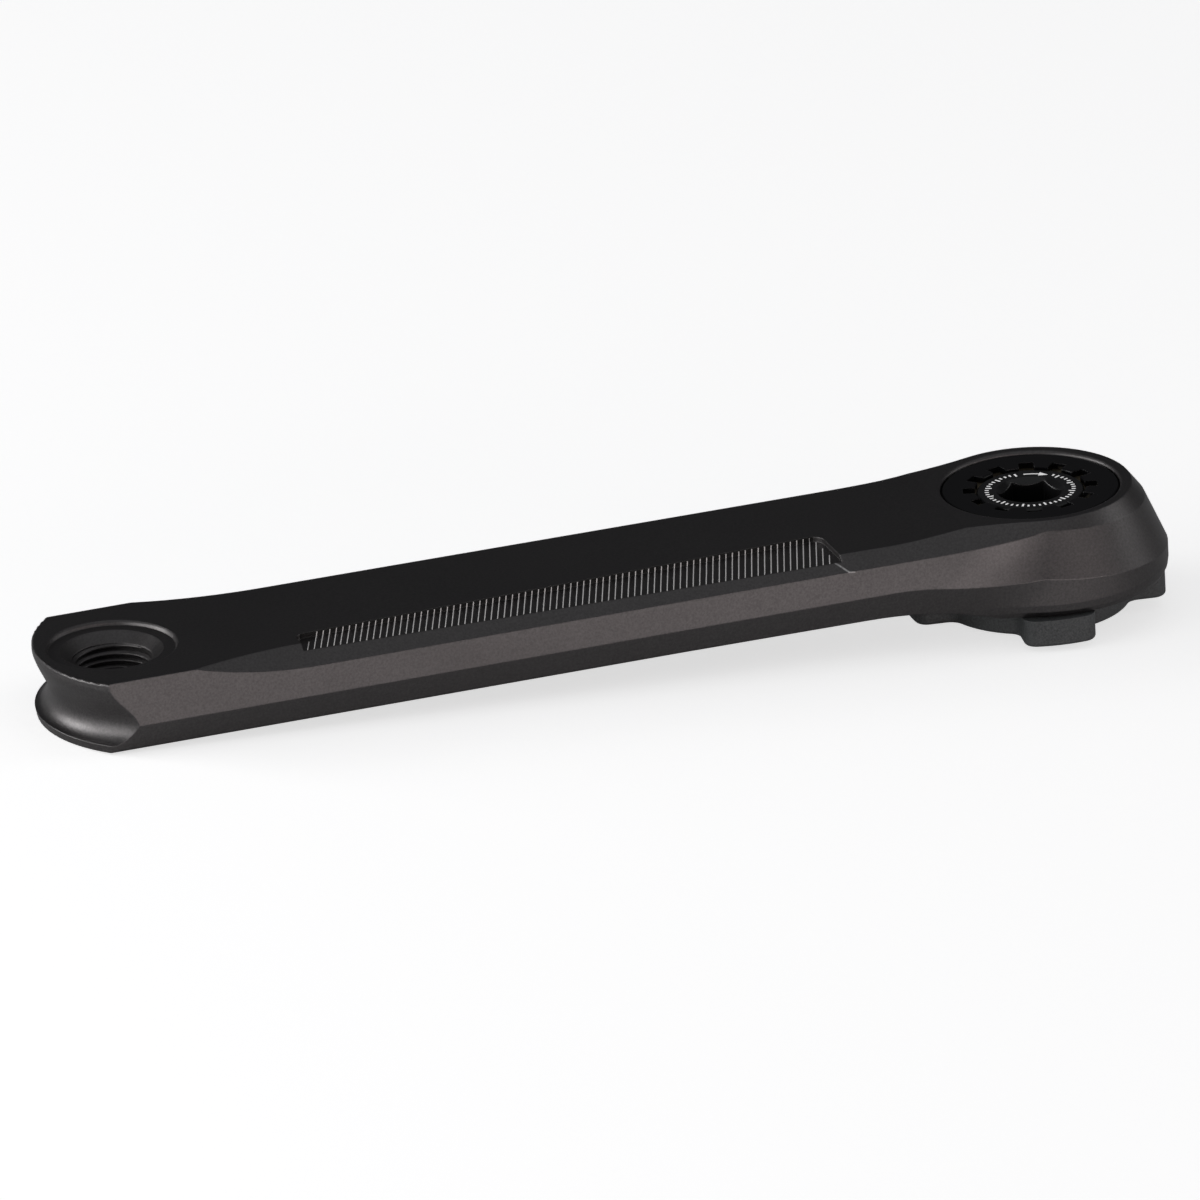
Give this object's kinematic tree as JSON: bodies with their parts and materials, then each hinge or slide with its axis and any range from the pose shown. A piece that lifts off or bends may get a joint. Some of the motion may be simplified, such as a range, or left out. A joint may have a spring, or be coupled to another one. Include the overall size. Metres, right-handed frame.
{
  "type": "bicycle crank arm",
  "caption": "Left bicycle crank arm: faceted bar with a waisted pedal eye, splined axle hub, captive self-extracting bolt and finger-turned preload ring.",
  "frame": {"origin": "on the axle axis at the inboard mouth of the axle bore", "axes": "+Z along the axle, outboard; the pedal eye lies toward -X; +Y across the arm"},
  "size_m": [0.2102, 0.0466, 0.0221],
  "materials": {
    "black_anodised": "matte black anodised, fine bead-blasted grain",
    "gloss_black": "glossy black anodised",
    "black_steel": "satin black oxide with a white printed ring of marks",
    "pale_washer": "pale bronze, smooth",
    "washer_steel": "plain turned steel",
    "black_nylon": "textured moulded black plastic"
  },
  "bodies": {
    "arm": {"crank_arm": "black_anodised", "extractor_ring": "gloss_black", "glide_washer": "pale_washer", "bolt_washer": "washer_steel"},
    "bolt": {"crank_bolt": "black_steel"},
    "preload": {"preload_ring": "black_nylon"}
  },
  "joints": [
    {"name": "bolt_turn", "type": "hinge", "parent": "arm", "child": "bolt", "pos_m": [0, 0, 0.0148], "axis": [0, 0, 1], "continuous": true},
    {"name": "preload_turn", "type": "hinge", "parent": "arm", "child": "preload", "pos_m": [0, 0, 0.0016], "axis": [0, 0, -1], "range_deg": [0, 360]}
  ]
}
